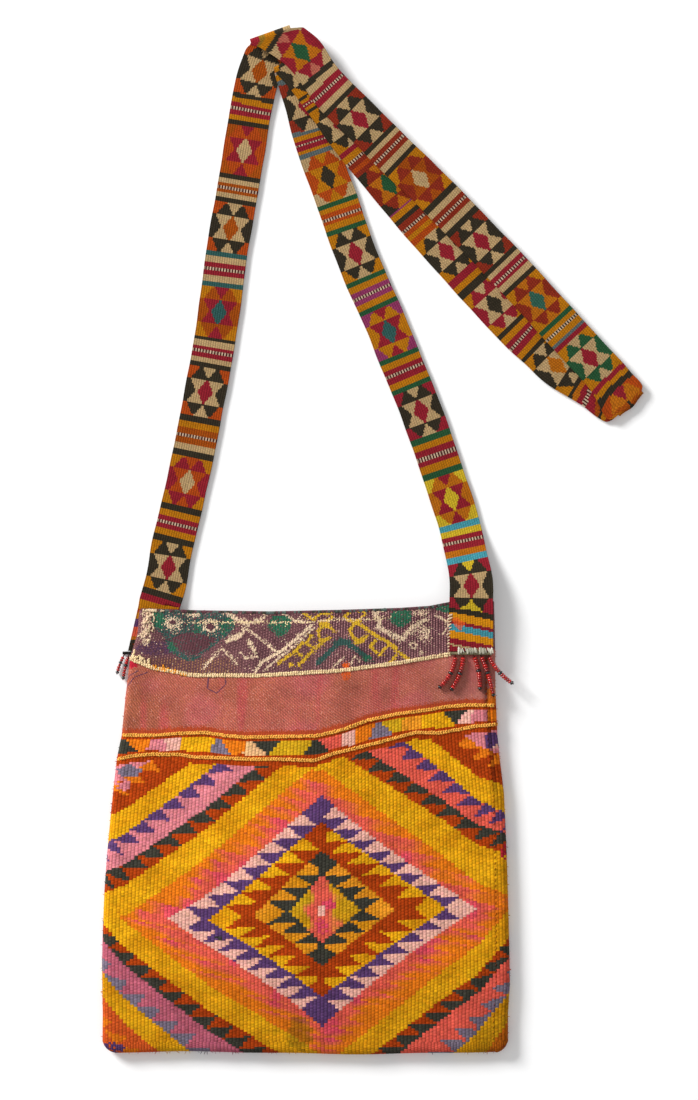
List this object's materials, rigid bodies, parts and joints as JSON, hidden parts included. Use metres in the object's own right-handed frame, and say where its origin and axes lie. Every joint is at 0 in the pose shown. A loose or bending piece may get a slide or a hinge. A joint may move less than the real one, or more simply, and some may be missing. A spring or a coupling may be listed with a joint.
{
  "type": "betel nut bag",
  "caption": "Flat woven cloth bag with a stepped diamond tapestry front, banded mouth and one long patterned shoulder strap, folded over and sewn on with beaded tassels",
  "frame": {"origin": "middle of the bag back, on the surface that it lies on", "axes": "+X across the bag to the right, +Y from the bottom seam to the mouth and along the strap, +Z out of the front"},
  "size_m": [0.2972, 0.5656, 0.0143],
  "materials": {
    "tapestry_weave": "ribbed wool tapestry, matt",
    "pink_weave": "plain weave, matt",
    "purple_weave": "warp-faced weave with supplementary weft, matt",
    "cream_cord": "twisted cotton cord",
    "rust_thread": "sewn thread",
    "strap_weave": "dense warp-faced band",
    "grey_thread": "whipped cotton thread",
    "red_glass": "opaque glass seed beads",
    "black_glass": "opaque glossy glass bead"
  },
  "bodies": {
    "bag": {"back_cream_cord": "cream_cord", "back_mouth_hem": "purple_weave", "back_pink_band": "pink_weave", "back_purple_band": "purple_weave", "back_tapestry_panel": "tapestry_weave", "bottom_seam": "rust_thread", "front_right_flank": "tapestry_weave", "left_fold_strip": "tapestry_weave", "right_side_seam": "rust_thread", "right_wrap_strip": "tapestry_weave", "strap_end_left": "strap_weave", "strap_end_right": "strap_weave", "whipping_left": "grey_thread", "whipping_right": "grey_thread"},
    "front": {"front_tapestry_panel": "tapestry_weave", "front_pink_band": "pink_weave", "front_purple_band": "purple_weave", "front_cream_cord": "cream_cord", "front_mouth_hem": "purple_weave"},
    "strap": {"strap": "strap_weave"},
    "strand_a": {"strand_a": "red_glass", "black_bead_a": "black_glass"},
    "strand_b": {"strand_b": "red_glass", "black_bead_b": "black_glass"},
    "strand_c": {"strand_c": "red_glass", "black_bead_c": "black_glass"},
    "strand_d": {"strand_d": "red_glass", "black_bead_d": "black_glass"},
    "strand_e": {"strand_e": "red_glass", "black_bead_e": "black_glass"},
    "strand_f": {"strand_f": "red_glass", "black_bead_f": "black_glass"},
    "strand_g": {"strand_g": "red_glass", "black_bead_g": "black_glass"}
  },
  "joints": [
    {"name": "mouth_open", "type": "hinge", "parent": "bag", "child": "front", "pos_m": [0, -0.11613, 0.00605], "axis": [1, 0, 0], "range_deg": [0, 9]},
    {"name": "strap_swing", "type": "hinge", "parent": "bag", "child": "strap", "pos_m": [-0.091, 0.12415, 0.00075], "axis": [0.999, 0, 0.0452], "range_deg": [0, 90]},
    {"name": "strand_a_lift", "type": "hinge", "parent": "bag", "child": "strand_a", "pos_m": [0.08311, 0.09605, 0.00881], "axis": [-0.9945, 0.1045, 0], "range_deg": [0, 75]},
    {"name": "strand_b_lift", "type": "hinge", "parent": "bag", "child": "strand_b", "pos_m": [0.08745, 0.09605, 0.00857], "axis": [-0.9976, 0.0698, 0], "range_deg": [0, 75]},
    {"name": "strand_c_lift", "type": "hinge", "parent": "bag", "child": "strand_c", "pos_m": [0.09325, 0.09605, 0.00833], "axis": [-0.9272, -0.3746, 0], "range_deg": [0, 75]},
    {"name": "strand_d_lift", "type": "hinge", "parent": "bag", "child": "strand_d", "pos_m": [0.09718, 0.09605, 0.00822], "axis": [-0.9135, -0.4067, 0], "range_deg": [0, 75]},
    {"name": "strand_e_lift", "type": "hinge", "parent": "bag", "child": "strand_e", "pos_m": [0.10153, 0.09605, 0.00816], "axis": [-0.8988, -0.4384, 0], "range_deg": [0, 75]},
    {"name": "strand_f_lift", "type": "hinge", "parent": "bag", "child": "strand_f", "pos_m": [-0.0962, 0.09605, 0.00105], "axis": [-0.9613, 0.2756, 0], "range_deg": [0, 75]},
    {"name": "strand_g_lift", "type": "hinge", "parent": "bag", "child": "strand_g", "pos_m": [-0.09889, 0.09605, 0.00105], "axis": [-0.9135, 0.4067, 0], "range_deg": [0, 75]}
  ]
}
